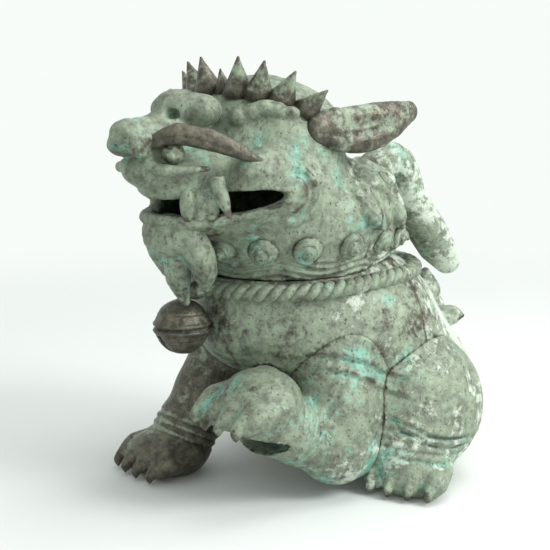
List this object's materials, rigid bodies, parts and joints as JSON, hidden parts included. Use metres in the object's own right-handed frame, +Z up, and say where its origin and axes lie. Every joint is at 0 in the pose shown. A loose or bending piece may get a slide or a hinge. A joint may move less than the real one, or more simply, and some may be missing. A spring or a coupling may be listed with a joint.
{
  "type": "foo dog statue",
  "caption": "Seated guardian lion of hollow-cast bronze with green patina, one forepaw raised, pierced mouth, curled mane, rope collar with bell and hooked locks behind the ears",
  "frame": {"origin": "on the ground, at the middle of the lion's bounding box", "axes": "+Z up, the lion faces -Y, its left side is +X"},
  "size_m": [0.2848, 0.3596, 0.3601],
  "materials": {
    "patina_green": "cast bronze with green verdigris, satin",
    "dark_bronze": "dark handled bronze, satin",
    "pale_patina": "cast bronze with pale grey-green patina, matt"
  },
  "bodies": {
    "root": {"head_shell": "patina_green", "lower_jaw": "patina_green", "mane_shell": "patina_green", "chest_shell": "patina_green", "collar_rope": "patina_green", "beard": "patina_green", "foreleg_right": "dark_bronze", "fang_left": "patina_green", "fang_right": "patina_green", "mane_curl_left_1": "patina_green", "mane_curl_right_1": "patina_green", "mane_curl_left_2": "patina_green", "mane_curl_right_2": "patina_green", "mane_curl_left_3": "patina_green", "mane_curl_right_3": "patina_green", "mane_curl_left_4": "patina_green", "mane_curl_right_4": "patina_green", "mane_curl_left_5": "patina_green", "mane_curl_right_5": "patina_green", "mane_curl_left_6": "patina_green", "mane_curl_right_6": "patina_green", "mane_curl_left_7": "patina_green", "mane_curl_right_7": "patina_green", "mane_curl_left_8": "patina_green", "mane_curl_right_8": "patina_green", "bell": "dark_bronze", "bell_knot": "dark_bronze", "foreleg_left": "patina_green", "crown_curl_front": "dark_bronze", "brow_flame_left": "dark_bronze", "brow_flame_right": "dark_bronze", "ear_left": "dark_bronze", "ear_right": "dark_bronze", "crown_curl_left_1": "dark_bronze", "crown_curl_right_1": "dark_bronze", "crown_curl_left_2": "dark_bronze", "crown_curl_right_2": "dark_bronze", "crown_curl_left_3": "dark_bronze", "crown_curl_right_3": "dark_bronze", "crown_curl_left_4": "dark_bronze", "crown_curl_right_4": "dark_bronze", "rump_shell": "pale_patina", "hind_leg_left": "pale_patina", "hind_leg_right": "pale_patina", "tail": "pale_patina", "eye_left": "pale_patina", "eye_right": "pale_patina", "mane_lock_left": "pale_patina", "mane_lock_right": "pale_patina", "mane_curl_left_9": "patina_green", "mane_curl_right_9": "patina_green"}
  },
  "joints": []
}
